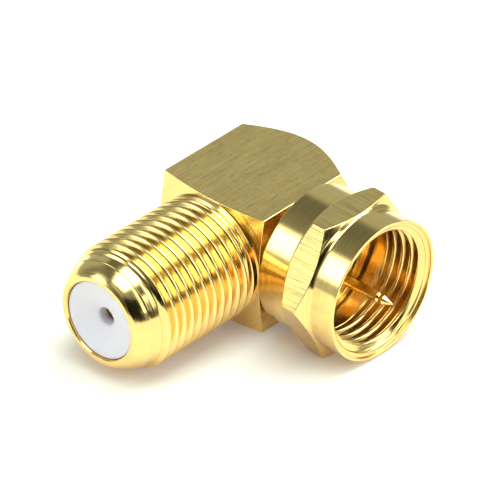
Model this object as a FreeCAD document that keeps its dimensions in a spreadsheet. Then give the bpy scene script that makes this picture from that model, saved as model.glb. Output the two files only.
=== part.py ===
import FreeCAD, Part
import math
import os
import Sketcher

# Right-angle F-type coaxial adapter: a screw-on plug (pin and swivel nut) at
# one side of a square block and a threaded jack barrel on the next side.
#
# Frame: +X leaves the plug, -Y leaves the jack, +Z is up.  The origin is on
# the bottom flat of the block, straight below the point where the plug axis
# and the jack axis cross.
#
# Turned parts are drawn in a lathe frame: local Z is the turning axis and the
# profile lies in the local XZ plane (sketch x = radius, sketch y = station).
# Jack-side stations are counted from the axis crossing towards the nose, and
# plug-side stations from the axis crossing towards the pin's tip.

doc = FreeCAD.newDocument("right_angle_coax_adapter")

# ---------------------------------------------------------------- dimensions
DIMS = [
    # block and barrel (one turned and milled piece)
    ("block_side", 9.6, "side of the square bar"),
    ("axis_height", 4.8, "height of both axes above the bottom flat"),
    ("shoulder_st", 4.31, "station where the front cone meets the barrel"),
    ("front_cone_out", 3.50, "station of the front cone at cone_out_r"),
    ("rear_face_st", -6.28, "station of the flat rear face"),
    ("rear_face_r", 4.50, "radius of the flat rear face"),
    ("rear_cone_out", -3.24, "station of the rear cone at cone_out_r"),
    ("cone_out_r", 8.0, "radius outside the bar's corners"),
    ("thread_r", 4.76, "3/8-32 UNEF major radius of the jack"),
    ("thread_root_r", 4.28, "root radius of the jack thread"),
    ("thread_crest_r", 4.745, "crest radius of the swept ridge"),
    ("thread_pitch", 0.79375, "32 threads per inch"),
    ("land_rear_end", 4.78, "front end of the plain land at the block"),
    ("land_front_a", 13.18, "rear end of the plain land at the nose"),
    ("land_front_b", 13.44, "front end of the plain land at the nose"),
    ("thread_first", 4.62, "station of the first crest"),
    ("thread_turns", 10.95, "turns of the swept ridge"),
    ("nose_st", 15.77, "station of the jack's front rim"),
    ("nose_r_out", 3.28, "outer radius of the rim's flat"),
    ("front_bore_r", 3.06, "bore that holds the front insulator"),
    ("front_bore_end", 12.30, "station of that bore's floor"),
    ("barrel_bore_r", 2.70, "air bore of the barrel"),
    ("bead_step", 6.00, "step that stops the insulator bead"),
    ("chamber_r", 2.90, "chamber in the block"),
    ("cap_bore_r", 3.20, "counterbore for the rear cap"),
    ("cap_bore_end", -5.00, "floor of that counterbore"),
    ("side_bore_r", 3.20, "side bore for the plug ferrule"),
    ("side_bore_end", 2.20, "floor of the side bore"),
    # jack internals
    ("jins_r", 3.04, "front insulator radius"),
    ("jins_front", 15.68, "front insulator's face"),
    ("jins_back", 12.32, "front insulator's back"),
    ("jins_hole_r", 0.70, "entry hole radius"),
    ("jins_dish_r", 2.78, "outer radius of the dished face"),
    ("jins_dish_d", 0.74, "depth of the dished face at the hole"),
    ("jins_pocket_r", 1.05, "pocket for the contact's tip"),
    ("jins_pocket_st", 14.12, "station of the pocket's floor"),
    ("con_r", 0.95, "socket barrel radius"),
    ("con_in_r", 0.45, "socket bore radius"),
    ("con_front", 14.02, "socket mouth"),
    ("con_bore_end", 7.60, "socket bore's floor"),
    ("con_back", 6.40, "back of the socket barrel"),
    ("con_tail_r", 0.72, "contact tail radius"),
    ("con_tail_end", -1.00, "end of the contact tail"),
    ("con_slot_w", 0.22, "width of the spring slots"),
    ("con_slot_end", 8.40, "floor of the spring slots"),
    ("con_cross_r", 0.42, "cross hole for the plug pin"),
    ("bead_r", 2.88, "insulator bead radius"),
    ("bead_front", 5.98, "bead front"),
    ("bead_back", 4.00, "bead back"),
    ("bead_hole_r", 0.74, "bead hole radius"),
    ("cap_r", 3.18, "rear cap radius"),
    ("cap_in", -5.02, "rear cap's inner face"),
    ("cap_out", -6.02, "rear cap's outer face"),
    ("cap_edge", 0.18, "rear cap's edge chamfer"),
    # plug ferrule
    ("fer_tail_r", 3.18, "tail pressed into the block"),
    ("fer_tail_end", 2.22, "end of the tail"),
    ("fer_seat", 4.82, "seat against the block's side"),
    ("fer_r", 3.64, "ferrule radius inside the nut"),
    ("fer_groove_r", 2.75, "retaining groove radius"),
    ("fer_groove_a", 5.45, "rear wall of the retaining groove"),
    ("fer_groove_b", 6.45, "front wall of the retaining groove"),
    ("fer_face", 7.00, "mating face"),
    ("fer_bore_r", 2.20, "bore for the plug insulator"),
    ("fer_bore_end", 2.62, "floor of that bore"),
    ("fer_throat_r", 1.80, "throat behind the insulator"),
    ("fer_edge", 0.12, "edge chamfer"),
    ("pins_r", 2.18, "plug insulator radius"),
    ("pins_back", 2.64, "plug insulator back"),
    ("pins_front", 6.72, "plug insulator front"),
    ("pins_hole_r", 0.64, "plug insulator hole"),
    # pin
    ("pin_r", 0.40, "pin radius"),
    ("pin_back", -0.62, "rear end of the pin"),
    ("pin_body_r", 0.62, "thicker body held in the insulator"),
    ("pin_body_a", 1.30, "rear end of the thicker body"),
    ("pin_body_b", 7.05, "front shoulder of the thicker body"),
    ("pin_shaft_a", 7.25, "start of the free shaft"),
    ("pin_shaft_end", 12.34, "end of the full-size shaft"),
    ("pin_neck_st", 12.52, "start of the neck"),
    ("pin_neck_r", 0.34, "neck radius"),
    ("pin_cone_st", 12.88, "start of the point"),
    ("pin_tip_r", 0.03, "blunt tip radius"),
    ("pin_tip", 13.67, "tip"),
    ("sol_back", 0.74, "solder fillet next to the tail"),
    ("sol_front", 1.12, "solder fillet's front"),
    ("sol_in_r", 0.42, "solder fillet inner radius"),
    ("sol_back_r", 0.78, "solder fillet back radius"),
    ("sol_front_r", 0.50, "solder fillet front radius"),
    # snap ring
    ("ring_in_r", 3.50, "ring inner radius"),
    ("ring_out_r", 4.70, "ring outer radius"),
    ("ring_a", 5.97, "ring rear face"),
    ("ring_b", 6.43, "ring front face"),
    ("ring_angle", 332.0, "ring's arc in degrees"),
    # coupling nut
    ("nut_axis_height", 5.5, "height of the loose nut's axis when its flat lies level with the block's"),
    ("nut_back", 5.64, "rear face of the nut"),
    ("nut_front", 12.73, "front face of the nut"),
    ("nut_neck_r", 5.35, "rear collar radius"),
    ("nut_collar_r", 5.38, "front collar radius"),
    ("nut_af", 11.0, "hexagon across flats"),
    ("nut_hex_a", 8.07, "rear end of the hexagon on the collar"),
    ("nut_hex_a_out", 9.34, "rear cone at nut_out_r"),
    ("nut_hex_b", 10.46, "front end of the hexagon on the collar"),
    ("nut_hex_b_out", 9.62, "front cone at nut_out_r"),
    ("nut_out_r", 7.0, "radius outside the hexagon's corners"),
    ("nut_groove_r", 5.22, "narrow groove in front of the hexagon"),
    ("nut_groove_b", 10.73, "front end of that groove"),
    ("nut_edge", 0.15, "edge break of the collars"),
    ("nut_mouth_r", 4.97, "mouth countersink radius"),
    ("nut_minor_r", 4.38, "minor radius of the nut thread"),
    ("nut_mouth_end", 12.14, "floor of the countersink"),
    ("nut_relief_b", 8.70, "front end of the thread relief"),
    ("nut_relief_a", 6.85, "rear end of the thread relief"),
    ("nut_relief_r", 4.88, "relief radius"),
    ("nut_lip_r", 4.38, "rear lip bore over the ferrule"),
    ("nut_rg_r", 4.75, "inner ring groove radius"),
    ("nut_rg_a", 5.95, "inner ring groove rear wall"),
    ("nut_rg_b", 6.45, "inner ring groove front wall"),
    ("nut_thread_first", 8.20, "station where the thread cut starts"),
    ("nut_thread_run", 4.80, "length of the thread cut"),
    ("nut_thread_r", 4.84, "root radius of the thread cut"),
    ("nut_thread_in", 4.28, "inner radius of the cutting profile"),
    ("nut_cut_half_in", 0.34, "half width of the cut at the inner radius"),
    ("nut_cut_half_out", 0.04, "half width of the cut at the root"),
    # ridge section of the jack thread
    ("ridge_in_r", 4.16, "inner radius of the ridge section"),
    ("ridge_half_in", 0.385, "half width of the ridge at its inner radius"),
    ("ridge_half_out", 0.05, "half width of the ridge's crest"),
]

sheet = doc.addObject("Spreadsheet::Sheet", "Dims")
VALUE = {}
for row, (alias, value, note) in enumerate(DIMS, start=1):
    sheet.set("A%d" % row, alias)
    sheet.set("B%d" % row, "%.6g" % value)
    sheet.set("C%d" % row, note)
    sheet.setAlias("B%d" % row, alias)
    VALUE[alias] = value
doc.recompute()


class Size:
    """A length with its value and the sheet expression that drives it."""

    def __init__(self, value, text):
        self.value = float(value)
        self.text = text

    def _pair(self, other):
        if isinstance(other, Size):
            return other
        return Size(other, repr(float(other)))

    def __add__(self, other):
        other = self._pair(other)
        return Size(self.value + other.value, "(%s + %s)" % (self.text, other.text))

    def __sub__(self, other):
        other = self._pair(other)
        return Size(self.value - other.value, "(%s - %s)" % (self.text, other.text))

    def __mul__(self, factor):
        return Size(self.value * factor, "(%s * %r)" % (self.text, float(factor)))

    def __neg__(self):
        return Size(-self.value, "(0 - %s)" % self.text)


def dim(alias):
    return Size(VALUE[alias], "Dims.%s" % alias)


ZERO = None


def new_body(name, placement):
    body = doc.addObject("PartDesign::Body", name + "_body")
    body.Label = name
    body.Placement = placement
    return body


def origin_feature(body, role):
    for item in body.Origin.OriginFeatures:
        if item.Role == role:
            return item
    raise ValueError(role)


def new_sketch(body, name, plane):
    sketch = body.newObject("Sketcher::SketchObject", name)
    sketch.AttachmentSupport = (origin_feature(body, plane), [""])
    sketch.MapMode = "FlatFace"
    return sketch


def number(size):
    return 0.0 if size is None else size.value


def polygon(sketch, points):
    """Closed outline with every corner driven by the sheet."""
    count = len(points)
    for i in range(count):
        a, b = points[i], points[(i + 1) % count]
        sketch.addGeometry(Part.LineSegment(
            FreeCAD.Vector(number(a[0]), number(a[1]), 0),
            FreeCAD.Vector(number(b[0]), number(b[1]), 0)), False)
    for i in range(count):
        sketch.addConstraint(Sketcher.Constraint("Coincident", i, 2, (i + 1) % count, 1))
    for i, (px, py) in enumerate(points):
        for axis, size in (("X", px), ("Y", py)):
            if size is None:
                line = -2 if axis == "X" else -1
                sketch.addConstraint(Sketcher.Constraint("PointOnObject", i, 1, line))
                continue
            index = sketch.addConstraint(Sketcher.Constraint(
                "Distance" + axis, -1, 1, i, 1, size.value))
            label = "p%d%s" % (i, axis.lower())
            sketch.renameConstraint(index, label)
            sketch.setExpression("Constraints." + label, size.text)


def circle(sketch, radius):
    index = sketch.addGeometry(Part.Circle(
        FreeCAD.Vector(0, 0, 0), FreeCAD.Vector(0, 0, 1), radius.value), False)
    sketch.addConstraint(Sketcher.Constraint("Coincident", index, 3, -1, 1))
    c = sketch.addConstraint(Sketcher.Constraint("Radius", index, radius.value))
    sketch.renameConstraint(c, "radius")
    sketch.setExpression("Constraints.radius", radius.text)


def revolve(body, name, points, kind="Revolution", angle=None):
    sketch = new_sketch(body, name + "_profile", "XZ_Plane")
    polygon(sketch, points)
    feature = body.newObject("PartDesign::" + kind, name)
    feature.Profile = sketch
    feature.ReferenceAxis = (sketch, ["V_Axis"])
    feature.Angle = 360.0 if angle is None else angle.value
    if angle is not None:
        feature.setExpression("Angle", angle.text)
    doc.recompute()
    return feature


def helix(body, name, points, kind, pitch, height=None, turns=None):
    sketch = new_sketch(body, name + "_profile", "XZ_Plane")
    polygon(sketch, points)
    feature = body.newObject("PartDesign::" + kind, name)
    feature.Profile = sketch
    feature.ReferenceAxis = (sketch, ["V_Axis"])
    if turns is None:
        feature.Mode = "pitch-height-angle"
        feature.setExpression("Pitch", pitch.text)
        feature.setExpression("Height", height.text)
    else:
        feature.Mode = "pitch-turns-angle"
        feature.setExpression("Pitch", pitch.text)
        feature.setExpression("Turns", turns.text)
    feature.LeftHanded = False
    feature.Reversed = False
    doc.recompute()
    return feature


def pocket(body, name, sketch, length, offset=None, reverse=False, both=False):
    feature = body.newObject("PartDesign::Pocket", name)
    feature.Profile = sketch
    feature.setExpression("Length", length.text)
    feature.Reversed = reverse
    feature.Midplane = both
    doc.recompute()
    return feature


# Lathe frame of the jack side: local Z points along -Y, local Y along +Z.
JACK = FreeCAD.Placement(FreeCAD.Vector(0, 0, VALUE["axis_height"]),
                         FreeCAD.Rotation(FreeCAD.Vector(1, 0, 0), 90))
# Lathe frame of the plug side: local Z points along +X, local X along -Z.
PLUG = FreeCAD.Placement(FreeCAD.Vector(0, 0, VALUE["axis_height"]),
                         FreeCAD.Rotation(FreeCAD.Vector(0, 1, 0), 90))
# The same frame on the loose nut's own axis, for the nut and its ring.
NUT = FreeCAD.Placement(FreeCAD.Vector(0, 0, VALUE["nut_axis_height"]),
                        FreeCAD.Rotation(FreeCAD.Vector(0, 1, 0), 90))

bodies = []

# ------------------------------------------------------------------- housing
housing = new_body("housing", JACK)
bodies.append(housing)
half = dim("block_side") * 0.5
sk = new_sketch(housing, "bar_section", "XY_Plane")
polygon(sk, [(-half, -half), (half, -half), (half, half), (-half, half)])
sk.setExpression(".AttachmentOffset.Base.z", dim("rear_face_st").text)
bar = housing.newObject("PartDesign::Pad", "bar")
bar.Profile = sk
bar.setExpression("Length", (dim("shoulder_st") - dim("rear_face_st")).text)
doc.recompute()
# cone turned on the front of the bar, which leaves curved edges on its flats
revolve(housing, "front_cone", [
    (dim("thread_r"), dim("shoulder_st")),
    (dim("cone_out_r"), dim("front_cone_out")),
    (dim("cone_out_r"), dim("shoulder_st") + 1.0),
    (dim("thread_r"), dim("shoulder_st") + 1.0)], "Groove")
revolve(housing, "rear_cone", [
    (dim("rear_face_r"), dim("rear_face_st")),
    (dim("rear_face_r"), dim("rear_face_st") - 1.0),
    (dim("cone_out_r"), dim("rear_face_st") - 1.0),
    (dim("cone_out_r"), dim("rear_cone_out"))], "Groove")
# barrel with plain lands at both ends of the thread and a rounded nose
revolve(housing, "barrel", [
    (ZERO, dim("shoulder_st") - 2.0),
    (dim("thread_r"), dim("shoulder_st") - 2.0),
    (dim("thread_r"), dim("land_rear_end")),
    (dim("thread_root_r"), dim("land_rear_end") + 0.28),
    (dim("thread_root_r"), dim("land_front_a") - 0.28),
    (dim("thread_r"), dim("land_front_a")),
    (dim("thread_r"), dim("land_front_b")),
    (dim("thread_root_r") + 0.06, dim("land_front_b") + 0.34),
    (dim("thread_root_r") - 0.02, dim("nose_st") - 1.10),
    (dim("nose_r_out") + 0.78, dim("nose_st") - 0.67),
    (dim("nose_r_out") + 0.54, dim("nose_st") - 0.35),
    (dim("nose_r_out") + 0.24, dim("nose_st") - 0.11),
    (dim("nose_r_out"), dim("nose_st")),
    (ZERO, dim("nose_st"))])
helix(housing, "jack_thread_ridge", [
    (dim("ridge_in_r"), dim("thread_first") - dim("ridge_half_in")),
    (dim("thread_crest_r"), dim("thread_first") - dim("ridge_half_out")),
    (dim("thread_crest_r"), dim("thread_first") + dim("ridge_half_out")),
    (dim("ridge_in_r"), dim("thread_first") + dim("ridge_half_in"))],
    "AdditiveHelix", dim("thread_pitch"), turns=dim("thread_turns"))
revolve(housing, "through_bore", [
    (ZERO, dim("nose_st") + 1.0),
    (dim("front_bore_r"), dim("nose_st") + 1.0),
    (dim("front_bore_r"), dim("front_bore_end")),
    (dim("barrel_bore_r"), dim("front_bore_end")),
    (dim("barrel_bore_r"), dim("bead_step")),
    (dim("chamber_r"), dim("bead_step")),
    (dim("chamber_r"), dim("cap_bore_end")),
    (dim("cap_bore_r"), dim("cap_bore_end")),
    (dim("cap_bore_r"), dim("rear_face_st") - 1.0),
    (ZERO, dim("rear_face_st") - 1.0)], "Groove")
sk = new_sketch(housing, "side_bore_circle", "YZ_Plane")
circle(sk, dim("side_bore_r"))
sk.setExpression(".AttachmentOffset.Base.z", dim("side_bore_end").text)
pocket(housing, "side_bore", sk, half, reverse=True)

# ------------------------------------------------------------ jack internals
jack_insulator = new_body("jack_insulator", JACK)
bodies.append(jack_insulator)
revolve(jack_insulator, "disc", [
    (dim("jins_hole_r"), dim("jins_pocket_st")),
    (dim("jins_pocket_r"), dim("jins_pocket_st")),
    (dim("jins_pocket_r"), dim("jins_back")),
    (dim("jins_r"), dim("jins_back")),
    (dim("jins_r"), dim("jins_front") - 0.18),
    (dim("jins_dish_r") + 0.06, dim("jins_front")),
    (dim("jins_dish_r"), dim("jins_front")),
    (dim("jins_hole_r") + 0.06, dim("jins_front") - dim("jins_dish_d")),
    (dim("jins_hole_r"), dim("jins_front") - dim("jins_dish_d") - 0.06)])

jack_contact = new_body("jack_contact", JACK)
bodies.append(jack_contact)
revolve(jack_contact, "contact_turning", [
    (ZERO, dim("con_tail_end")),
    (dim("con_tail_r"), dim("con_tail_end")),
    (dim("con_tail_r"), dim("con_back")),
    (dim("con_r"), dim("con_back") + 0.25),
    (dim("con_r"), dim("con_front") - 0.3),
    (dim("con_r") - 0.2, dim("con_front")),
    (dim("con_in_r") + 0.18, dim("con_front")),
    (dim("con_in_r"), dim("con_front") - 0.30),
    (dim("con_in_r"), dim("con_bore_end")),
    (ZERO, dim("con_bore_end"))])
slot_half = dim("con_slot_w") * 0.5
for tag, plane in (("a", "XZ_Plane"), ("b", "YZ_Plane")):
    sk = new_sketch(jack_contact, "slot_%s_outline" % tag, plane)
    lo, hi = dim("con_slot_end"), dim("con_front") + 1.0
    if plane == "XZ_Plane":
        polygon(sk, [(-slot_half, lo), (slot_half, lo), (slot_half, hi), (-slot_half, hi)])
    else:
        polygon(sk, [(-slot_half, lo), (slot_half, lo), (slot_half, hi), (-slot_half, hi)])
    pocket(jack_contact, "slot_%s" % tag, sk, dim("con_r") * 3.0, both=True)
sk = new_sketch(jack_contact, "cross_hole_circle", "YZ_Plane")
circle(sk, dim("con_cross_r"))
pocket(jack_contact, "cross_hole", sk, dim("con_r") * 3.0, both=True)

contact_bead = new_body("contact_bead", JACK)
bodies.append(contact_bead)
revolve(contact_bead, "bead", [
    (dim("bead_hole_r"), dim("bead_back")),
    (dim("bead_r"), dim("bead_back")),
    (dim("bead_r"), dim("bead_front")),
    (dim("bead_hole_r"), dim("bead_front"))])

rear_cap = new_body("rear_cap", JACK)
bodies.append(rear_cap)
revolve(rear_cap, "cap_disc", [
    (ZERO, dim("cap_out")),
    (dim("cap_r") - dim("cap_edge"), dim("cap_out")),
    (dim("cap_r"), dim("cap_out") + dim("cap_edge")),
    (dim("cap_r"), dim("cap_in")),
    (ZERO, dim("cap_in"))])

# ----------------------------------------------------------------- plug side
plug_ferrule = new_body("plug_ferrule", PLUG)
bodies.append(plug_ferrule)
revolve(plug_ferrule, "ferrule_turning", [
    (dim("fer_throat_r"), dim("fer_tail_end")),
    (dim("fer_tail_r"), dim("fer_tail_end")),
    (dim("fer_tail_r"), dim("fer_seat")),
    (dim("fer_r"), dim("fer_seat")),
    (dim("fer_r"), dim("fer_groove_a")),
    (dim("fer_groove_r"), dim("fer_groove_a")),
    (dim("fer_groove_r"), dim("fer_groove_b")),
    (dim("fer_r"), dim("fer_groove_b")),
    (dim("fer_r"), dim("fer_face") - dim("fer_edge")),
    (dim("fer_r") - dim("fer_edge"), dim("fer_face")),
    (dim("fer_bore_r"), dim("fer_face")),
    (dim("fer_bore_r"), dim("fer_bore_end")),
    (dim("fer_throat_r"), dim("fer_bore_end"))])

plug_insulator = new_body("plug_insulator", PLUG)
bodies.append(plug_insulator)
revolve(plug_insulator, "insulator", [
    (dim("pins_hole_r"), dim("pins_back")),
    (dim("pins_r"), dim("pins_back")),
    (dim("pins_r"), dim("pins_front") - 0.1),
    (dim("pins_r") - 0.1, dim("pins_front")),
    (dim("pins_hole_r"), dim("pins_front"))])

centre_pin = new_body("centre_pin", PLUG)
bodies.append(centre_pin)
revolve(centre_pin, "pin_turning", [
    (ZERO, dim("pin_back")),
    (dim("pin_r"), dim("pin_back")),
    (dim("pin_r"), dim("pin_body_a")),
    (dim("pin_body_r"), dim("pin_body_a")),
    (dim("pin_body_r"), dim("pin_body_b")),
    (dim("pin_r"), dim("pin_shaft_a")),
    (dim("pin_r"), dim("pin_shaft_end")),
    (dim("pin_neck_r"), dim("pin_neck_st")),
    (dim("pin_neck_r") - 0.01, dim("pin_cone_st")),
    (dim("pin_tip_r"), dim("pin_tip")),
    (ZERO, dim("pin_tip"))])

solder_fillet = new_body("solder_fillet", PLUG)
bodies.append(solder_fillet)
revolve(solder_fillet, "fillet_ring", [
    (dim("sol_in_r"), dim("sol_back")),
    (dim("sol_back_r"), dim("sol_back")),
    (dim("sol_front_r"), dim("sol_front")),
    (dim("sol_in_r"), dim("sol_front"))])

snap_ring = new_body("snap_ring", NUT)
bodies.append(snap_ring)
revolve(snap_ring, "open_ring", [
    (dim("ring_in_r"), dim("ring_a")),
    (dim("ring_out_r"), dim("ring_a")),
    (dim("ring_out_r"), dim("ring_b")),
    (dim("ring_in_r"), dim("ring_b"))], angle=dim("ring_angle"))

# -------------------------------------------------------------- coupling nut
coupling_nut = new_body("coupling_nut", NUT)
bodies.append(coupling_nut)
sk = new_sketch(coupling_nut, "hex_section", "XY_Plane")
af = dim("nut_af") * 0.5
side = dim("nut_af") * (0.5 / math.sqrt(3.0))
polygon(sk, [(af, -side), (af, side), (ZERO, side * 2.0),
             (-af, side), (-af, -side), (ZERO, -(side * 2.0))])
sk.setExpression(".AttachmentOffset.Base.z", dim("nut_hex_a").text)
hexagon = coupling_nut.newObject("PartDesign::Pad", "hexagon")
hexagon.Profile = sk
hexagon.setExpression("Length", (dim("nut_hex_b") - dim("nut_hex_a")).text)
doc.recompute()
revolve(coupling_nut, "hex_rear_cone", [
    (dim("nut_neck_r"), dim("nut_hex_a")),
    (dim("nut_neck_r"), dim("nut_hex_a") - 1.0),
    (dim("nut_out_r"), dim("nut_hex_a") - 1.0),
    (dim("nut_out_r"), dim("nut_hex_a_out"))], "Groove")
revolve(coupling_nut, "hex_front_cone", [
    (dim("nut_collar_r"), dim("nut_hex_b")),
    (dim("nut_out_r"), dim("nut_hex_b_out")),
    (dim("nut_out_r"), dim("nut_hex_b") + 1.0),
    (dim("nut_collar_r"), dim("nut_hex_b") + 1.0)], "Groove")
revolve(coupling_nut, "collars", [
    (ZERO, dim("nut_back")),
    (dim("nut_neck_r") - dim("nut_edge"), dim("nut_back")),
    (dim("nut_neck_r"), dim("nut_back") + dim("nut_edge")),
    (dim("nut_neck_r"), dim("nut_hex_a") + 0.5),
    (dim("nut_groove_r"), dim("nut_hex_a") + 0.7),
    (dim("nut_groove_r"), dim("nut_groove_b") - 0.12),
    (dim("nut_collar_r"), dim("nut_groove_b")),
    (dim("nut_collar_r"), dim("nut_front") - dim("nut_edge") * 0.5),
    (dim("nut_collar_r") - dim("nut_edge") * 0.5, dim("nut_front")),
    (ZERO, dim("nut_front"))])
revolve(coupling_nut, "nut_bore", [
    (ZERO, dim("nut_front") + 1.0),
    (dim("nut_mouth_r") + 1.0, dim("nut_front") + 1.0),
    (dim("nut_mouth_r"), dim("nut_front")),
    (dim("nut_minor_r"), dim("nut_mouth_end")),
    (dim("nut_minor_r"), dim("nut_relief_b") + 0.5),
    (dim("nut_relief_r"), dim("nut_relief_b")),
    (dim("nut_relief_r"), dim("nut_relief_a")),
    (dim("nut_lip_r"), dim("nut_relief_a")),
    (dim("nut_lip_r"), dim("nut_rg_b")),
    (dim("nut_rg_r"), dim("nut_rg_b")),
    (dim("nut_rg_r"), dim("nut_rg_a")),
    (dim("nut_lip_r"), dim("nut_rg_a")),
    (dim("nut_lip_r"), dim("nut_back") - 1.0),
    (ZERO, dim("nut_back") - 1.0)], "Groove")
helix(coupling_nut, "nut_thread_cut", [
    (dim("nut_thread_in"), dim("nut_thread_first") - dim("nut_cut_half_in")),
    (dim("nut_thread_r"), dim("nut_thread_first") - dim("nut_cut_half_out")),
    (dim("nut_thread_r"), dim("nut_thread_first") + dim("nut_cut_half_out")),
    (dim("nut_thread_in"), dim("nut_thread_first") + dim("nut_cut_half_in"))],
    "SubtractiveHelix", dim("thread_pitch"), height=dim("nut_thread_run"))

# --------------------------------------------------------------- final check
doc.recompute()
problems = []
for obj in doc.Objects:
    if "Invalid" in obj.State or "Error" in obj.State:
        problems.append("%s: %s" % (obj.Name, obj.State))
for body in bodies:
    shape = body.Shape
    if shape.isNull() or not shape.isValid() or len(shape.Solids) != 1:
        problems.append("%s: bad shape" % body.Label)
if problems:
    raise RuntimeError("; ".join(problems))

os.makedirs("parts", exist_ok=True)
for body in bodies:
    body.Shape.exportStep(os.path.join("parts", body.Label + ".step"))
    print("%-16s volume %9.3f mm3  faces %3d" % (
        body.Label, body.Shape.Volume, len(body.Shape.Faces)))
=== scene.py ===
import math
import bpy
import numpy as np
from mathutils import Matrix, Vector


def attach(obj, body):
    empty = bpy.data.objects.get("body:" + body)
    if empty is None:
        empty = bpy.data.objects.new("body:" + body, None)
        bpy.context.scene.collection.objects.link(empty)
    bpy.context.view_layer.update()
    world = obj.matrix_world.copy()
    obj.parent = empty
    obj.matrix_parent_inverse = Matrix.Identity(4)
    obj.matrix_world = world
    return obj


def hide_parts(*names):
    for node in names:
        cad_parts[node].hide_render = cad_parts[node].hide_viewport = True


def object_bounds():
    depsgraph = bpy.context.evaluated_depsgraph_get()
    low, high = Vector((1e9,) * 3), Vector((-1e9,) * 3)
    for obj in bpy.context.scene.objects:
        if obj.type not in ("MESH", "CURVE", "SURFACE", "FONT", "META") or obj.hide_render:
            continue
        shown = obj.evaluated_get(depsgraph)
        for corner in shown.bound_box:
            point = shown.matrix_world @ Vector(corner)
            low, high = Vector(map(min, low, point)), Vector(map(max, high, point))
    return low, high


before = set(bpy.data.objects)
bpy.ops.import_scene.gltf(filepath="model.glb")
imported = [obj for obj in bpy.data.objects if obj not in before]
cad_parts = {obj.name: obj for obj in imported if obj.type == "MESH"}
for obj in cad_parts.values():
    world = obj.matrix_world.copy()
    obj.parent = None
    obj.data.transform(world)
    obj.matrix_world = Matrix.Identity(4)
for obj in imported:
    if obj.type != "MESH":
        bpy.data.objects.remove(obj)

cad_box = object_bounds()
MM = 0.001
ZC = 4.8                      # height of the plug and jack axes above the origin, mm
ZN = 5.5                      # height of the loose nut's axis, mm
PITCH = 0.79375
TAU = 2.0 * math.pi


# --------------------------------------------------------------- mesh helpers
def thetas(n, corners=(), spread=1.1, step=0.11):
    """Angles round the axis, closer together at a bar's corners."""
    base = np.arange(n) * TAU / n
    extra = []
    for c in corners:
        extra.append(np.radians(c + np.arange(-spread, spread + 1e-6, step)))
    alls = np.concatenate([base] + extra) % TAU
    alls = np.sort(alls)
    keep = np.concatenate([[True], np.diff(alls) > 2e-4])
    return alls[keep]


def polygon_radius(th, sides, inradius, corner_r, first_normal):
    """Distance from the axis to a regular polygon with rounded corners."""
    seg = TAU / sides
    a = (th - first_normal + seg / 2.0) % seg - seg / 2.0     # from the nearest flat's normal
    flat = inradius / np.cos(a)
    # corner circle, centred on the ray to the vertex
    half = seg / 2.0
    centre = (inradius - corner_r) / math.cos(half)
    b = half - np.abs(a)
    inside = np.clip(corner_r ** 2 - (centre * np.sin(b)) ** 2, 0.0, None)
    arc = centre * np.cos(b) + np.sqrt(inside)
    lim = math.atan2((inradius - corner_r) * math.tan(half), inradius)
    return np.where(np.abs(a) > lim, arc, flat)


def fillet_rows(corners, th, closed=True, m=5):
    """Profile rows (station, radius) with rounded corners.

    corners: list of (station, radius, setback), each number or array over th,
    or a ready block of rows given as ("rows", S[K, N], R[K, N])."""
    n = len(th)
    pts = []
    for c in corners:
        if isinstance(c[0], str):
            pts.append(("rows", c[1], c[2]))
        else:
            s = np.broadcast_to(np.asarray(c[0], float), (n,))
            r = np.broadcast_to(np.asarray(c[1], float), (n,))
            pts.append(("pt", s, r, float(c[2]) if len(c) > 2 else 0.0))
    count = len(pts)

    def edge(i, end):
        p = pts[i % count]
        if p[0] == "rows":
            k = 0 if end == "first" else -1
            return np.stack([p[1][k], p[2][k]])
        return np.stack([p[1], p[2]])

    rows_s, rows_r = [], []
    for i, p in enumerate(pts):
        if p[0] == "rows":
            rows_s.extend(list(p[1]))
            rows_r.extend(list(p[2]))
            continue
        here = np.stack([p[1], p[2]])
        d = p[3]
        first, last = (not closed and i == 0), (not closed and i == count - 1)
        if d <= 0.0 or first or last:
            rows_s.append(here[0]); rows_r.append(here[1])
            continue
        prv, nxt = edge(i - 1, "last"), edge(i + 1, "first")
        v0, v1 = prv - here, nxt - here
        l0 = np.maximum(np.hypot(*v0), 1e-9); l1 = np.maximum(np.hypot(*v1), 1e-9)
        d0 = np.minimum(d, 0.45 * l0); d1 = np.minimum(d, 0.45 * l1)
        a, b = here + v0 / l0 * d0, here + v1 / l1 * d1
        for t in np.linspace(0.0, 1.0, m):
            q = (1 - t) ** 2 * a + 2 * t * (1 - t) * here + t * t * b
            rows_s.append(q[0]); rows_r.append(q[1])
    return np.array(rows_s), np.array(rows_r)


def to_world(kind, s, r, th):
    c, n = np.cos(th), np.sin(th)
    if kind == "jack":
        return np.stack([r * c, -s + 0.0 * c, r * n + ZC], -1)
    return np.stack([s + 0.0 * c, r * c, r * n + (ZN if kind == "nut" else ZC)], -1)


def finish_mesh(name, verts, faces, mats=None):
    mesh = bpy.data.meshes.new(name)
    verts = np.asarray(verts, float) * MM
    faces = np.asarray(faces, np.int64)
    mesh.vertices.add(len(verts))
    mesh.vertices.foreach_set("co", verts.ravel())
    mesh.loops.add(faces.size)
    mesh.loops.foreach_set("vertex_index", faces.ravel())
    mesh.polygons.add(len(faces))
    mesh.polygons.foreach_set("loop_start", np.arange(0, faces.size, faces.shape[1]))
    if mats is not None:
        mesh.polygons.foreach_set("material_index", mats)
    mesh.update(calc_edges=True)
    mesh.validate()
    return mesh


def signed_volume(verts, faces):
    v = np.asarray(verts, float)
    v = v - v.mean(0)
    total = 0.0
    for k in range(1, faces.shape[1] - 1):
        a, b, c = v[faces[:, 0]], v[faces[:, k]], v[faces[:, k + 1]]
        total += np.einsum("ij,ij->i", a, np.cross(b, c)).sum()
    return total / 6.0


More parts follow.
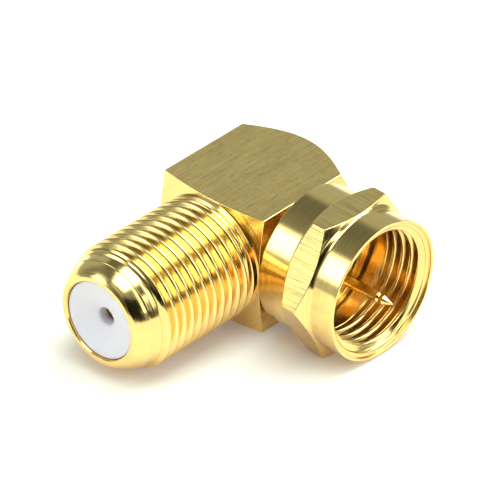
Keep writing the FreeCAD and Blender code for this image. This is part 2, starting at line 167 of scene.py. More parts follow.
def lathe(name, kind, corners, th, closed=True, m=5, zones=None):
    """Body of revolution, or of a rounded polygon, from rows of its profile.

    closed: the profile is a loop (a ring-shaped part).  Otherwise both ends
    lie on the axis and each is closed with a fan."""
    S, R = fillet_rows(corners, th, closed, m)
    K, N = S.shape
    grid = to_world(kind, S, R, th[None, :])
    verts = grid.reshape(-1, 3)
    idx = np.arange(K * N).reshape(K, N)
    nxt = np.roll(idx, -1, axis=1)
    rows = [(k, (k + 1) % K) for k in range(K if closed else K - 1)]
    quads, zone = [], []
    for a, b in rows:
        quads.append(np.stack([idx[a], nxt[a], nxt[b], idx[b]], -1))
    quads = np.concatenate(quads)
    if not closed:
        # the end rows sit on a small circle; close each with an axis point
        extra = []
        for k, order in ((0, 1), (K - 1, -1)):
            centre = to_world(kind, S[k].mean(), 0.0, np.zeros(1))[0]
            verts = np.vstack([verts, centre])
            c = len(verts) - 1
            tri = np.stack([np.full(N, c), nxt[k], idx[k], idx[k]], -1)
            if order < 0:
                tri = np.stack([np.full(N, c), idx[k], nxt[k], nxt[k]], -1)
            extra.append(tri)
        # triangles go in apart from the quads
        tris = np.concatenate(extra)[:, :3]
    else:
        tris = None
    vol = signed_volume(verts, quads)
    if tris is not None:
        vol += signed_volume(verts, tris) * 0.0
    mesh = bpy.data.meshes.new(name)
    allv = np.asarray(verts, float) * MM
    loops = [quads.ravel()]
    starts = [np.arange(0, quads.size, 4)]
    if tris is not None:
        loops.append(tris.ravel())
        starts.append(np.arange(0, tris.size, 3) + quads.size)
    loops = np.concatenate(loops); starts = np.concatenate(starts)
    mesh.vertices.add(len(allv)); mesh.vertices.foreach_set("co", allv.ravel())
    mesh.loops.add(len(loops)); mesh.loops.foreach_set("vertex_index", loops)
    mesh.polygons.add(len(starts)); mesh.polygons.foreach_set("loop_start", starts)
    mesh.update(calc_edges=True)
    mesh.validate()
    return mesh


def make_outward(mesh):
    import bmesh
    bm = bmesh.new()
    bm.from_mesh(mesh)
    bmesh.ops.remove_doubles(bm, verts=bm.verts, dist=2e-8)
    bmesh.ops.recalc_face_normals(bm, faces=bm.faces)
    if bm.calc_volume(signed=True) < 0:
        bmesh.ops.reverse_faces(bm, faces=bm.faces)
    bm.to_mesh(mesh)
    bm.free()
    mesh.update()


def area_normals(mesh):
    """Smooth shading whose vertex normals are weighted by face area."""
    n_poly, n_vert = len(mesh.polygons), len(mesh.vertices)
    nor = np.zeros(n_poly * 3); mesh.polygons.foreach_get("normal", nor)
    area = np.zeros(n_poly); mesh.polygons.foreach_get("area", area)
    total = np.zeros(n_poly, np.int32); mesh.polygons.foreach_get("loop_total", total)
    vi = np.zeros(len(mesh.loops), np.int32); mesh.loops.foreach_get("vertex_index", vi)
    w = np.repeat(nor.reshape(-1, 3) * area[:, None], total, axis=0)
    acc = np.zeros((n_vert, 3))
    for k in range(3):
        acc[:, k] = np.bincount(vi, weights=w[:, k], minlength=n_vert)
    ln = np.maximum(np.linalg.norm(acc, axis=1), 1e-20)
    acc /= ln[:, None]
    mesh.polygons.foreach_set("use_smooth", np.ones(n_poly, bool))
    mesh.normals_split_custom_set_from_vertices(acc.tolist())
    mesh.update()


def add_object(name, mesh, body, node, materials):
    obj = bpy.data.objects.new(name, mesh)
    bpy.context.scene.collection.objects.link(obj)
    for m in materials:
        mesh.materials.append(m)
    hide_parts(node)
    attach(obj, body)
    return obj


def cut(mesh, cutter_mesh, name):
    """Boolean difference on bare meshes, returned as a new mesh."""
    a = bpy.data.objects.new(name + "_a", mesh)
    b = bpy.data.objects.new(name + "_b", cutter_mesh)
    for o in (a, b):
        bpy.context.scene.collection.objects.link(o)
    mod = a.modifiers.new("cut", "BOOLEAN")
    mod.operation = "DIFFERENCE"
    mod.solver = "EXACT"
    mod.object = b
    bpy.context.view_layer.update()
    dg = bpy.context.evaluated_depsgraph_get()
    out = bpy.data.meshes.new_from_object(a.evaluated_get(dg), depsgraph=dg)
    bpy.data.objects.remove(a)
    bpy.data.objects.remove(b)
    out.name = name
    return out


def assign_zones(mesh, rule):
    """material_index per face from its centre (mm) and normal."""
    n = len(mesh.polygons)
    c = np.zeros(n * 3); mesh.polygons.foreach_get("center", c)
    v = np.zeros(n * 3); mesh.polygons.foreach_get("normal", v)
    idx = rule(c.reshape(-1, 3) / MM, v.reshape(-1, 3)).astype(np.int32)
    mesh.polygons.foreach_set("material_index", idx)
    mesh.update()


def smin(a, b, k):
    h = np.clip(k - np.abs(a - b), 0.0, None) / k
    return np.minimum(a, b) - h * h * k * 0.25


def smax(a, b, k):
    return -smin(-a, -b, k)


# ------------------------------------------------------------------- profiles
BAR_HALF = 4.8
CORNER_R = BAR_HALF * math.sqrt(2.0)


def housing_thread(S, TH):
    """Outside radius of the barrel at a station and an angle."""
    ph = (S - 4.62) / PITCH - TH / TAU
    p = (ph - np.round(ph)) * PITCH
    ap = np.sqrt(p * p + 0.012 ** 2) - 0.012
    flank = 4.76 - (ap - 0.055) * 1.732
    t = smin(np.full_like(S, 4.76), flank, 0.05)
    t = smax(t, np.full_like(S, 4.285), 0.07)
    # the turned lead-in that the last thread runs out on
    lead = np.interp(S, [0.0, 13.36, 13.62, 14.20, 14.67, 16.0],
                     [4.80, 4.80, 4.52, 4.34, 4.235, 4.2])
    t = smin(t, lead, 0.03)
    # plain band next to the block
    band = np.interp(S, [0.0, 4.70, 4.84, 5.00, 17.0], [4.70, 4.70, 4.44, 4.20, 4.20])
    near = np.clip((S - 4.62) / 0.40, 0.0, 1.0)
    t = np.where(near < 1.0, smax(band, t * near + 4.2 * (1 - near), 0.04), t)
    return t


def nut_thread(S, TH):
    """Inside radius of the nut at a station and an angle."""
    ph = (S - 8.445) / PITCH - (TH + math.pi / 2) / TAU
    p = (ph - np.round(ph)) * PITCH
    ap = np.sqrt(p * p + 0.010 ** 2) - 0.010
    groove = 4.38 + (0.306 - ap) * 1.732
    t = smax(np.full_like(S, 4.38), groove, 0.05)
    t = smin(t, np.full_like(S, 4.84), 0.05)
    # lead-in cone with the mark where the thread runs out on it
    mouth = 4.95 + (S - 12.50) * 1.75 + 0.10 * np.exp(-((S - 12.385) / 0.045) ** 2)
    t = smax(t, mouth, 0.03)
    back = np.interp(S, [0.0, 8.70, 9.20, 20.0], [4.88, 4.88, 4.36, 4.36])
    return smax(t, back, 0.04)


# ------------------------------------------------------------------ materials
def node(nt, kind, **inputs):
    n = nt.nodes.new(kind)
    for k, v in inputs.items():
        if k.startswith("_"):
            setattr(n, k[1:], v)
        else:
            n.inputs[k.replace("__", " ")].default_value = v
    return n


def link(nt, a, b):
    nt.links.new(a, b)


def math_node(nt, op, a, b=None, c=None, clamp=False):
    n = nt.nodes.new("ShaderNodeMath")
    n.operation = op
    n.use_clamp = clamp
    for i, v in enumerate((a, b, c)):
        if v is None:
            continue
        if isinstance(v, (int, float)):
            n.inputs[i].default_value = v
        else:
            nt.links.new(v, n.inputs[i])
    return n.outputs[0]


def noise(nt, vec, scale, detail=2.0, rough=0.5, dims="3D", w=None):
    n = nt.nodes.new("ShaderNodeTexNoise")
    n.noise_dimensions = dims
    n.inputs["Scale"].default_value = scale
    n.inputs["Detail"].default_value = detail
    n.inputs["Roughness"].default_value = rough
    if vec is not None and dims != "1D":
        nt.links.new(vec, n.inputs["Vector"])
    if w is not None:
        nt.links.new(w, n.inputs["W"])
    return n.outputs["Fac"]


def combine(nt, x, y, z):
    n = nt.nodes.new("ShaderNodeCombineXYZ")
    for i, v in enumerate((x, y, z)):
        if isinstance(v, (int, float)):
            n.inputs[i].default_value = v
        else:
            nt.links.new(v, n.inputs[i])
    return n.outputs[0]


def ramp(nt, fac, stops):
    n = nt.nodes.new("ShaderNodeValToRGB")
    el = n.color_ramp.elements
    while len(el) < len(stops):
        el.new(0.5)
    for e, (p, c) in zip(el, stops):
        e.position = p
        e.color = (c, c, c, 1.0) if isinstance(c, float) else (*c, 1.0)
    nt.links.new(fac, n.inputs["Fac"])
    return n.outputs["Color"]


def gold(name, mode, line=1.0, tone=1.0, rough=0.11, tint=None, streak=0.25, relief=1.0):
    """Gold plating over turned or drawn brass.

    mode: "turn_jack" and "turn_plug" have lathe rings round that axis,
    "draw_y" and "draw_x" have drawn-bar lines along that axis."""
    mat = bpy.data.materials.new(name)
    mat.use_nodes = True
    nt = mat.node_tree
    nt.nodes.clear()
    out = nt.nodes.new("ShaderNodeOutputMaterial")
    bsdf = nt.nodes.new("ShaderNodeBsdfPrincipled")
    link(nt, bsdf.outputs[0], out.inputs["Surface"])
    bsdf.inputs["Metallic"].default_value = 1.0
    tc = nt.nodes.new("ShaderNodeTexCoord")
    sc = nt.nodes.new("ShaderNodeVectorMath"); sc.operation = "SCALE"
    sc.inputs["Scale"].default_value = 1000.0
    link(nt, tc.outputs["Object"], sc.inputs[0])
    mm = sc.outputs[0]
    sep = nt.nodes.new("ShaderNodeSeparateXYZ")
    link(nt, mm, sep.inputs[0])
    x, y, z = sep.outputs
    zr = math_node(nt, "SUBTRACT", z, ZC if mode == "turn_jack" else ZN)

    def stretched(along, across):
        if mode == "turn_jack":
            rad = math_node(nt, "SQRT", math_node(nt, "ADD", math_node(nt, "MULTIPLY", x, x),
                                                  math_node(nt, "MULTIPLY", zr, zr)))
            ang = math_node(nt, "ARCTAN2", zr, x)
            return combine(nt, math_node(nt, "MULTIPLY", rad, across), math_node(nt, "MULTIPLY", y, across),
                           math_node(nt, "MULTIPLY", ang, along * 4.0))
        if mode == "turn_plug":
            rad = math_node(nt, "SQRT", math_node(nt, "ADD", math_node(nt, "MULTIPLY", y, y),
                                                  math_node(nt, "MULTIPLY", zr, zr)))
            ang = math_node(nt, "ARCTAN2", zr, y)
            return combine(nt, math_node(nt, "MULTIPLY", rad, across), math_node(nt, "MULTIPLY", x, across),
                           math_node(nt, "MULTIPLY", ang, along * 4.0))
        if mode == "draw_y":
            return combine(nt, math_node(nt, "MULTIPLY", x, across), math_node(nt, "MULTIPLY", y, along),
                           math_node(nt, "MULTIPLY", z, across))
        return combine(nt, math_node(nt, "MULTIPLY", x, along), math_node(nt, "MULTIPLY", y, across),
                       math_node(nt, "MULTIPLY", z, across))

    # the hex is drawn bar with unbroken lines from end to end of each flat
    run, crossed = (0.25, 0.05) if mode == "draw_x" else (1.0, 0.32)
    fine = noise(nt, stretched(0.45 * run, 18.0), 1.0, 2.0, 0.6)
    broad = noise(nt, stretched(0.16, 3.6), 1.0, 2.0, 0.5)
    cuts = noise(nt, stretched(0.50 * run, 6.5), 1.0, 1.0, 0.5)
    if mode.startswith("draw"):
        # faint marks across the drawn lines
        across = combine(nt, math_node(nt, "MULTIPLY", x, 1.1 if mode == "draw_y" else 9.0),
                         math_node(nt, "MULTIPLY", y, 9.0 if mode == "draw_y" else 1.1),
                         math_node(nt, "MULTIPLY", z, 1.1))
        fine = math_node(nt, "ADD", math_node(nt, "MULTIPLY", fine, 1.0 - crossed),
                         math_node(nt, "MULTIPLY", noise(nt, across, 1.0, 2.0, 0.6), crossed))
    mottle = noise(nt, mm, 0.9, 3.0, 0.55)
    grain = noise(nt, mm, 12.0, 2.0, 0.6)
    blotch = noise(nt, mm, 3.4, 3.0, 0.7)
    pits = nt.nodes.new("ShaderNodeTexVoronoi")
    pits.feature = "F1"
    pits.inputs["Scale"].default_value = 2.6
    link(nt, mm, pits.inputs["Vector"])
    pit = nt.nodes.new("ShaderNodeMapRange")
    pit.interpolation_type = "SMOOTHSTEP"
    pit.inputs["From Min"].default_value = 0.05
    pit.inputs["From Max"].default_value = 0.11
    link(nt, pits.outputs["Distance"], pit.inputs["Value"])
    # thin cuts left by the tool: narrow dark lines where the stretched noise crosses its middle
    cut_line = nt.nodes.new("ShaderNodeMapRange")
    cut_line.interpolation_type = "SMOOTHSTEP"
    cut_line.inputs["From Min"].default_value = 0.0
    cut_line.inputs["From Max"].default_value = 0.03
    link(nt, math_node(nt, "ABSOLUTE", math_node(nt, "SUBTRACT", cuts, 0.56)), cut_line.inputs["Value"])
    # colour: thin plating varies a little between a lemon and a deeper gold
    base = tint or ((1.0, 0.705, 0.275), (0.92, 0.615, 0.205))
    mix = nt.nodes.new("ShaderNodeMix"); mix.data_type = "RGBA"
    mix.inputs[6].default_value = (*[c * tone for c in base[0]], 1.0)
    mix.inputs[7].default_value = (*[c * tone for c in base[1]], 1.0)
    amount = math_node(nt, "ADD", math_node(nt, "MULTIPLY", mottle, 0.40),
                       math_node(nt, "MULTIPLY", fine, 0.35))
    amount = math_node(nt, "ADD", amount, math_node(nt, "MULTIPLY", blotch, 0.25))
    amount = math_node(nt, "MULTIPLY", math_node(nt, "SUBTRACT", amount, 0.36), 2.2, clamp=True)
    link(nt, amount, mix.inputs[0])
    # brightness of the lines themselves
    shade = math_node(nt, "MULTIPLY", math_node(nt, "SUBTRACT", fine, 0.5), streak * 2.2)
    shade = math_node(nt, "ADD", shade, math_node(nt, "MULTIPLY",
                      math_node(nt, "SUBTRACT", broad, 0.5), streak * 0.8))
    shade = math_node(nt, "ADD", shade, 1.0 - streak * 0.25)
    shade = math_node(nt, "MULTIPLY", shade, math_node(nt, "ADD", math_node(
        nt, "MULTIPLY", cut_line.outputs[0], streak * 0.75), 1.0 - streak * 0.75), clamp=True)
    lit = nt.nodes.new("ShaderNodeVectorMath"); lit.operation = "SCALE"
    link(nt, mix.outputs[2], lit.inputs[0])
    link(nt, shade, lit.inputs["Scale"])
    link(nt, lit.outputs[0], bsdf.inputs["Base Color"])
    r = math_node(nt, "ADD", math_node(nt, "MULTIPLY", fine, 0.10 * line), rough - 0.04)
    r = math_node(nt, "ADD", r, math_node(nt, "MULTIPLY", grain, 0.03))
    link(nt, r, bsdf.inputs["Roughness"])
    height = math_node(nt, "ADD", math_node(nt, "MULTIPLY", fine, 0.55 * line),
                       math_node(nt, "MULTIPLY", broad, 1.1 * line))
    height = math_node(nt, "ADD", height, math_node(nt, "MULTIPLY", cut_line.outputs[0], 0.25 * line))
    height = math_node(nt, "ADD", height, math_node(nt, "MULTIPLY", pit.outputs[0], 0.35))
    height = math_node(nt, "ADD", height, math_node(nt, "MULTIPLY", blotch, 0.5))
    height = math_node(nt, "ADD", height, math_node(nt, "MULTIPLY", grain, 0.05))
    bump = nt.nodes.new("ShaderNodeBump")
    bump.inputs["Strength"].default_value = 0.5
    bump.inputs["Distance"].default_value = 0.0000065 * relief
    link(nt, height, bump.inputs["Height"])
    link(nt, bump.outputs[0], bsdf.inputs["Normal"])
    return mat


def plastic(name, color=(0.84, 0.775, 0.83)):
    mat = bpy.data.materials.new(name)
    mat.use_nodes = True
    nt = mat.node_tree
    nt.nodes.clear()
    out = nt.nodes.new("ShaderNodeOutputMaterial")
    bsdf = nt.nodes.new("ShaderNodeBsdfPrincipled")
    link(nt, bsdf.outputs[0], out.inputs["Surface"])
    tc = nt.nodes.new("ShaderNodeTexCoord")
    sc = nt.nodes.new("ShaderNodeVectorMath"); sc.operation = "SCALE"
    sc.inputs["Scale"].default_value = 1000.0
    link(nt, tc.outputs["Object"], sc.inputs[0])
    big = noise(nt, sc.outputs[0], 0.7, 3.0, 0.5)
    fine = noise(nt, sc.outputs[0], 9.0, 3.0, 0.6)
    mix = nt.nodes.new("ShaderNodeMix"); mix.data_type = "RGBA"
    mix.inputs[6].default_value = (*color, 1.0)
    mix.inputs[7].default_value = (color[0] * 0.94, color[1] * 0.94, color[2] * 0.965, 1.0)
    link(nt, big, mix.inputs[0])
    link(nt, mix.outputs[2], bsdf.inputs["Base Color"])
    r = math_node(nt, "ADD", math_node(nt, "MULTIPLY", fine, 0.18), 0.38)
    link(nt, r, bsdf.inputs["Roughness"])
    bsdf.inputs["Subsurface Weight"].default_value = 0.25
    bsdf.inputs["Subsurface Radius"].default_value = (1.0, 0.95, 0.95)
    bsdf.inputs["Subsurface Scale"].default_value = 0.0006
    bump = nt.nodes.new("ShaderNodeBump")
    bump.inputs["Strength"].default_value = 0.35
    bump.inputs["Distance"].default_value = 0.000006
    link(nt, math_node(nt, "ADD", fine, math_node(nt, "MULTIPLY", big, 1.5)), bump.inputs["Height"])
    link(nt, bump.outputs[0], bsdf.inputs["Normal"])
    return mat


GOLD_TURN_J = gold("gold_turned_jack", "turn_jack", streak=0.16, relief=1.1)
GOLD_TURN_P = gold("gold_turned_plug", "turn_plug", streak=0.16, relief=1.1)
GOLD_DRAW_Y = gold("gold_drawn_block", "draw_y", line=1.1, rough=0.18, streak=0.42, relief=1.0)
GOLD_DRAW_X = gold("gold_drawn_hex", "draw_x", line=1.3, rough=0.15, streak=0.52, relief=1.3)
GOLD_INNER = gold("gold_inner_parts", "turn_plug", line=0.8, rough=0.14)
GOLD_CONTACT = gold("gold_contact", "turn_jack", line=0.8, rough=0.16)
BRONZE = gold("spring_bronze", "turn_plug", line=1.0, rough=0.22,
              tint=((0.74, 0.46, 0.25), (0.62, 0.36, 0.19)))
SOLDER = gold("dull_solder", "turn_plug", line=0.6, rough=0.34,
              tint=((0.62, 0.62, 0.64), (0.48, 0.48, 0.50)))
WHITE = plastic("white_dielectric")

# -------------------------------------------------------------------- housing
th = thetas(208, (45, 135, 225, 315), 1.1, 0.24)
edge_r = polygon_radius(th, 4, BAR_HALF, 0.10, 0.0)
front_edge = 4.31 - (edge_r - 4.76) * (0.81 / 3.24)
rear_edge = -6.28 + (edge_r - 4.5) * (3.04 / 3.5)
st = np.arange(14.60, 4.42, -0.034)
TS = np.repeat(st[:, None], len(th), 1)
TR = housing_thread(TS, th[None, :])
corners = [
    (12.30, 3.06, 0.03), (15.67, 3.06, 0.02), (15.77, 3.12, 0.03), (15.77, 3.40, 0.05),
    (15.63, 3.61, 0.08), (15.35, 3.84, 0.15), (15.01, 4.05, 0.16), (14.66, 4.195, 0.02),
    ("rows", TS, TR),
    (4.31, 4.70, 0.04),
    (front_edge, edge_r, 0.05), (rear_edge, edge_r, 0.05),
    (-6.28, 4.50, 0.18), (-6.28, 3.20, 0.09), (-5.0, 3.20, 0.02), (-5.0, 2.90, 0.03),
    (6.0, 2.90, 0.02), (6.0, 2.70, 0.03), (12.30, 2.70, 0.03)]
mesh = lathe("housing_mesh", "jack", corners, th)
make_outward(mesh)
bore_th = thetas(160)
cutter = lathe("side_cutter", "plug", [
    (2.2, 3.0), (2.2, 3.2), (5.6, 3.2), (5.6, 3.0)], bore_th, closed=False)
make_outward(cutter)
mesh = cut(mesh, cutter, "housing_shell")


def housing_rule(c, n):
    x, y, zz = c[:, 0], c[:, 1], c[:, 2] - ZC
    flat = ((np.abs(n[:, 0]) > 0.985) & (np.abs(x) > BAR_HALF - 0.02)) | \
           ((np.abs(n[:, 2]) > 0.985) & (np.abs(zz) > BAR_HALF - 0.02))
    return np.where(flat & (y > -4.4), 1, 0)


assign_zones(mesh, housing_rule)
area_normals(mesh)
add_object("housing_shell", mesh, "adapter_body", "housing",
           [GOLD_TURN_J, GOLD_DRAW_Y])

# --------------------------------------------------------------- coupling nut
th = thetas(240, (0, 60, 120, 180, 240, 300), 1.1, 0.16)
hex_r = polygon_radius(th, 6, 5.5, 0.10, math.pi / 2)
hex_rear = 8.07 + (hex_r - 5.35) * (1.27 / 1.65)
hex_front = 10.46 - (hex_r - 5.38) * (0.84 / 1.62)
foot_r = np.minimum(5.62, hex_r - 0.03)
foot_s = np.maximum(10.34, hex_front + 0.03)
st = np.arange(12.50, 8.64, -0.022)
TS = np.repeat(st[:, None], len(th), 1)
TR = nut_thread(TS, th[None, :])
corners = [
    (5.64, 4.38, 0.06), (5.64, 5.35, 0.14), (8.07, 5.35, 0.05),
    (hex_rear, hex_r, 0.045), (hex_front, hex_r, 0.045),
    (foot_s, foot_r, 0.04), (10.60, 5.38, 0.14),
    (12.74, 5.40, 0.06), (12.74, 5.21, 0.03), (12.68, 5.16, 0.02), (12.545, 5.15, 0.03),
    (12.530, 5.02, 0.02),
    ("rows", TS, TR),
    (8.60, 4.88, 0.04), (6.85, 4.88, 0.05), (6.85, 4.38, 0.04), (6.45, 4.38, 0.02),
    (6.45, 4.75, 0.02), (5.95, 4.75, 0.02), (5.95, 4.38, 0.02)]
mesh = lathe("nut_mesh", "nut", corners, th)
make_outward(mesh)


def nut_rule(c, n):
    rr = np.hypot(c[:, 1], c[:, 2] - ZN)
    flat = (np.abs(n[:, 0]) < 0.15) & (rr > 5.46) & (c[:, 0] > 8.1) & (c[:, 0] < 10.5)
    return np.where(flat, 1, 0)


assign_zones(mesh, nut_rule)
area_normals(mesh)
add_object("coupling_nut_shell", mesh, "nut", "coupling_nut",
           [GOLD_TURN_P, GOLD_DRAW_X])

# ------------------------------------------------------------ other plug parts
ring_th = thetas(192)
mesh = lathe("plug_ferrule_mesh", "plug", [
    (2.22, 1.80, 0.05), (2.22, 3.18, 0.12), (4.82, 3.18, 0.03), (4.82, 3.64, 0.08),
    (5.45, 3.64, 0.06), (5.45, 2.75, 0.04), (6.45, 2.75, 0.04), (6.45, 3.64, 0.05),
    (7.00, 3.64, 0.12), (7.00, 2.20, 0.08), (2.62, 2.20, 0.03), (2.62, 1.80, 0.03)], ring_th)
make_outward(mesh); area_normals(mesh)
add_object("plug_ferrule_shell", mesh, "adapter_body", "plug_ferrule", [GOLD_TURN_P])

mesh = lathe("plug_insulator_mesh", "plug", [
    (2.64, 0.64, 0.04), (2.64, 2.18, 0.10), (6.72, 2.18, 0.14), (6.72, 1.45, 0.05),
    (6.64, 1.35, 0.05), (6.64, 0.95, 0.05), (6.72, 0.85, 0.05), (6.72, 0.64, 0.06)], ring_th)
make_outward(mesh); area_normals(mesh)
add_object("plug_insulator_disc", mesh, "adapter_body", "plug_insulator", [WHITE])

pin_th = thetas(96)
mesh = lathe("centre_pin_mesh", "plug", [
    (-0.62, 0.02), (-0.62, 0.40, 0.08), (1.30, 0.40, 0.03), (1.30, 0.62, 0.06), (7.05, 0.62, 0.05),
    (7.25, 0.40, 0.05), (12.34, 0.40, 0.04), (12.50, 0.29, 0.06),
    (12.74, 0.27, 0.05), (12.84, 0.385, 0.03), (13.60, 0.05, 0.04), (13.67, 0.012)], pin_th, closed=False)
make_outward(mesh); area_normals(mesh)
add_object("centre_pin_turned", mesh, "adapter_body", "centre_pin", [GOLD_INNER])

mesh = lathe("solder_fillet_mesh", "plug", [
    (0.74, 0.42, 0.02), (0.74, 0.78, 0.05), (0.83, 0.62, 0.10), (1.00, 0.52, 0.08), (1.12, 0.47, 0.03),
    (1.12, 0.42, 0.02)], pin_th)
make_outward(mesh); area_normals(mesh)
add_object("solder_fillet_bead", mesh, "adapter_body", "solder_fillet", [SOLDER])


def open_ring(name, arc_deg, s0, s1, r0, r1, n=150):
    """Open ring of rectangular section with rounded edges and flat ends."""
    corners = [(s0, r0, 0.06), (s0, r1, 0.06), (s1, r1, 0.06), (s1, r0, 0.06)]
    # local angle 0 points down, as on the turned part
    tt = np.radians(np.linspace(0.0, arc_deg, n)) - math.pi / 2
    S, R = fillet_rows(corners, tt, True, 5)
    K, N = S.shape
    verts = to_world("nut", S, R, tt[None, :]).reshape(-1, 3) * MM
    idx = np.arange(K * N).reshape(K, N)
    faces = []
    for k in range(K):
        k2 = (k + 1) % K
        for j in range(N - 1):
            faces.append([idx[k, j], idx[k, j + 1], idx[k2, j + 1], idx[k2, j]])
    faces.append([int(i) for i in idx[:, 0]])
    faces.append([int(i) for i in idx[::-1, N - 1]])
    me = bpy.data.meshes.new(name)
    me.from_pydata([tuple(v) for v in verts], [], [[int(i) for i in f] for f in faces])
    me.validate()
    return me


mesh = open_ring("snap_ring_mesh", 332.0, 5.97, 6.43, 3.50, 4.70)
make_outward(mesh); area_normals(mesh)
add_object("snap_ring_open", mesh, "retaining_ring", "snap_ring", [BRONZE])

# ------------------------------------------------------------ other jack parts
mesh = lathe("jack_insulator_mesh", "jack", [
    (14.12, 0.70, 0.03), (14.12, 1.05, 0.02), (12.32, 1.05, 0.03), (12.32, 3.04, 0.05),
    (15.50, 3.04, 0.06), (15.60, 2.96, 0.10), (15.54, 2.50, 0.30), (15.22, 1.45, 0.30),
    (15.02, 0.86, 0.10), (14.90, 0.70, 0.07)], ring_th, m=8)
make_outward(mesh); area_normals(mesh)
add_object("jack_insulator_disc", mesh, "adapter_body", "jack_insulator", [WHITE])

mesh = lathe("jack_contact_mesh", "jack", [
    (-1.00, 0.02), (-1.00, 0.72, 0.10), (6.40, 0.72, 0.05), (6.65, 0.95, 0.08), (13.72, 0.95, 0.10),
    (14.02, 0.80, 0.06), (14.02, 0.63, 0.05), (13.72, 0.45, 0.08), (7.60, 0.45, 0.04), (7.60, 0.02)],
    pin_th, closed=False)
make_outward(mesh)


def slab(name, half, lo, hi):
    v, f = [], []
    for sx in (-1, 1):
        for sy in (-1, 1):
            for sz in (-1, 1):
                v.append(((lo[0] + hi[0]) / 2 + sx * half[0], (lo[1] + hi[1]) / 2 + sy * half[1],
                          (lo[2] + hi[2]) / 2 + sz * half[2]))
    f = [(0, 1, 3, 2), (4, 6, 7, 5), (0, 4, 5, 1), (2, 3, 7, 6), (0, 2, 6, 4), (1, 5, 7, 3)]
    me = bpy.data.meshes.new(name)
    me.from_pydata([tuple(c * MM for c in p) for p in v], [], f)
    make_outward(me)
    return me


for k, half in enumerate(((0.11, 3.0, 1.5), (1.5, 3.0, 0.11))):
    box = slab("slot%d" % k, half, (0, -14.40, ZC), (0, -8.40, ZC))
    mesh = cut(mesh, box, "jack_contact_slotted")
cross = lathe("cross", "plug", [(-1.4, 0.2), (-1.4, 0.42), (1.4, 0.42), (1.4, 0.2)], pin_th, closed=False)
make_outward(cross)
mesh = cut(mesh, cross, "jack_contact_slotted")
area_normals(mesh)
add_object("jack_contact_socket", mesh, "adapter_body", "jack_contact", [GOLD_CONTACT])

mesh = lathe("contact_bead_mesh", "jack", [
    (4.00, 0.74, 0.05), (4.00, 2.88, 0.10), (5.98, 2.88, 0.10), (5.98, 0.74, 0.05)], ring_th)
make_outward(mesh); area_normals(mesh)
add_object("contact_bead_disc", mesh, "adapter_body", "contact_bead", [WHITE])

mesh = lathe("rear_cap_mesh", "jack", [
    (-5.02, 0.05), (-5.02, 3.18, 0.05), (-5.84, 3.18, 0.05), (-6.02, 3.00, 0.08), (-6.02, 2.70, 0.06),
    (-5.98, 2.60, 0.05), (-5.98, 0.05)], ring_th, closed=False)
make_outward(mesh); area_normals(mesh)
add_object("rear_cap_disc", mesh, "adapter_body", "rear_cap", [GOLD_TURN_J])

# -------------------------------------------------------------------- staging
low = min(cad_box[0][2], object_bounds()[0][2])
floor_z = low - 0.00002
bpy.ops.mesh.primitive_grid_add(x_subdivisions=8, y_subdivisions=8, size=6.0, location=(0, 0, floor_z))
floor = bpy.context.object
floor.name = "floor"
fm = bpy.data.materials.new("pale_floor")
fm.use_nodes = True
fb = fm.node_tree.nodes["Principled BSDF"]
fb.inputs["Base Color"].default_value = (0.85, 0.79, 0.735, 1.0)
fb.inputs["Emission Color"].default_value = (1.0, 0.985, 0.955, 1.0)
fb.inputs["Emission Strength"].default_value = 0.14
fb.inputs["Roughness"].default_value = 0.85
fb.inputs["Specular IOR Level"].default_value = 0.1
floor.data.materials.append(fm)
# The loose nut lies on the table and the block is what lifts, so the table
# follows the nut's up and down play.
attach(floor, "retaining_ring")


# Studio round the object: each panel has a bearing and a height (degrees),
# half width, half height, turn, edge softness and brightness; later ones lie
# over earlier ones.
BASE_LEVEL = 0.36
PANELS = (
    (-128, 24, 40, 30, 0, 22, 0.49),
    (-80, 62, 36, 13, 0, 12, 0.16),
    (-66, 34, 18, 22, 0, 14, 0.26),
    (18, 16, 26, 20, 0, 14, 0.13),
    (55, 22, 25, 22, 0, 10, 0.012),
    (24, 8, 14, 10, 0, 8, 0.008),
    (101, 32, 9, 32, 0, 8, 0.012),
    (130, 28, 20, 14.5, 0, 6, 4.3),
    (142.5, 79.3, 38, 17, -53, 9, 5.0),
    (87, 42, 5, 26, 0, 6, 3.8),
    (-41, 30, 10.5, 15, 22, 14, 4.0),
    (-36, 6, 14, 5, 0, 8, 0.6),
)


def direction(az, el):
    a, e = math.radians(az), math.radians(el)
    return Vector((math.sin(a) * math.cos(e), -math.cos(a) * math.cos(e), math.sin(e)))


world = bpy.data.worlds.new("studio")
bpy.context.scene.world = world
world.use_nodes = True
wt = world.node_tree
wt.nodes.clear()
wout = wt.nodes.new("ShaderNodeOutputWorld")
bg = wt.nodes.new("ShaderNodeBackground")
wt.links.new(bg.outputs[0], wout.inputs["Surface"])
wc = wt.nodes.new("ShaderNodeTexCoord")


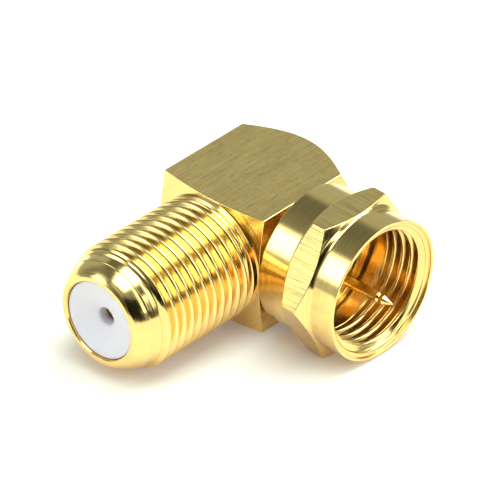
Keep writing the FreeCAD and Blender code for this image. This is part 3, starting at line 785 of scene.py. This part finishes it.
def soft_panel(az, el, half_w, half_h, turn, soft):
    """Mask of a soft-edged studio panel seen in a direction: 1 inside, 0 outside (degrees)."""
    d = direction(az, el)
    side = Vector((math.cos(math.radians(az)), math.sin(math.radians(az)), 0.0))
    up = d.cross(side)
    if up.z < 0:
        up = -up
    t = math.radians(turn)
    side, up = side * math.cos(t) + up * math.sin(t), up * math.cos(t) - side * math.sin(t)

    def dot(v):
        n = wt.nodes.new("ShaderNodeVectorMath"); n.operation = "DOT_PRODUCT"
        wt.links.new(wc.outputs["Generated"], n.inputs[0])
        n.inputs[1].default_value = v
        return n.outputs["Value"]

    depth = math_node(wt, "MAXIMUM", dot(d), 0.02)

    def edge(v, half):
        q = math_node(wt, "ABSOLUTE", math_node(wt, "DIVIDE", dot(v), depth))
        outer = math.tan(math.radians(min(half + soft / 2.0, 85.0)))
        inner = math.tan(math.radians(min(max(half - soft / 2.0, 0.01), 84.0)))
        mr = wt.nodes.new("ShaderNodeMapRange")
        mr.interpolation_type = "SMOOTHSTEP"
        mr.inputs["From Min"].default_value = inner
        mr.inputs["From Max"].default_value = outer
        mr.inputs["To Min"].default_value = 1.0
        mr.inputs["To Max"].default_value = 0.0
        wt.links.new(q, mr.inputs["Value"])
        return mr.outputs[0]

    front = math_node(wt, "GREATER_THAN", dot(d), 0.05)
    return math_node(wt, "MULTIPLY", math_node(wt, "MULTIPLY", edge(side, half_w), edge(up, half_h)), front)


room = wt.nodes.new("ShaderNodeValue")
room.outputs[0].default_value = BASE_LEVEL
cur = room.outputs[0]
for az, el, half_w, half_h, turn, soft, value in PANELS:
    m = soft_panel(az, el, half_w, half_h, turn, soft)
    mixn = wt.nodes.new("ShaderNodeMix"); mixn.data_type = "FLOAT"
    wt.links.new(m, mixn.inputs[0])
    wt.links.new(cur, mixn.inputs[2])
    mixn.inputs[3].default_value = value
    cur = mixn.outputs[0]
wt.links.new(cur, bg.inputs["Strength"])
bg.inputs["Color"].default_value = (0.90, 1.045, 1.02, 1.0)

# --------------------------------------------------------------------- camera
AZ, EL, ROLL = 42.03, 34.54, 0.77
DIST, FOCAL, SHIFT_X, SHIFT_Y = 591.9, 8294.8, 0.02, -1.48
az, el, ro = map(math.radians, (AZ, EL, ROLL))
back = Vector((math.sin(az) * math.cos(el), -math.cos(az) * math.cos(el), math.sin(el)))
right = Vector((math.cos(az), math.sin(az), 0.0))
up = back.cross(right)
r2 = right * math.cos(ro) + up * math.sin(ro)
u2 = up * math.cos(ro) - right * math.sin(ro)
pos = (r2 * SHIFT_X + u2 * SHIFT_Y + back * DIST) * MM + Vector((0, 0, ZC * MM))
cam = bpy.data.cameras.new("camera")
cam.sensor_width = 36.0
cam.lens = 36.0 * FOCAL / 500.0
cam.clip_start, cam.clip_end = 0.01, 50.0
cam_ob = bpy.data.objects.new("camera", cam)
cam_ob.matrix_world = Matrix((
    (r2.x, u2.x, back.x, pos.x), (r2.y, u2.y, back.y, pos.y), (r2.z, u2.z, back.z, pos.z), (0, 0, 0, 1)))
bpy.context.scene.collection.objects.link(cam_ob)
bpy.context.scene.camera = cam_ob
bpy.context.scene.view_settings.view_transform = "Standard"
bpy.context.scene.view_settings.look = "None"
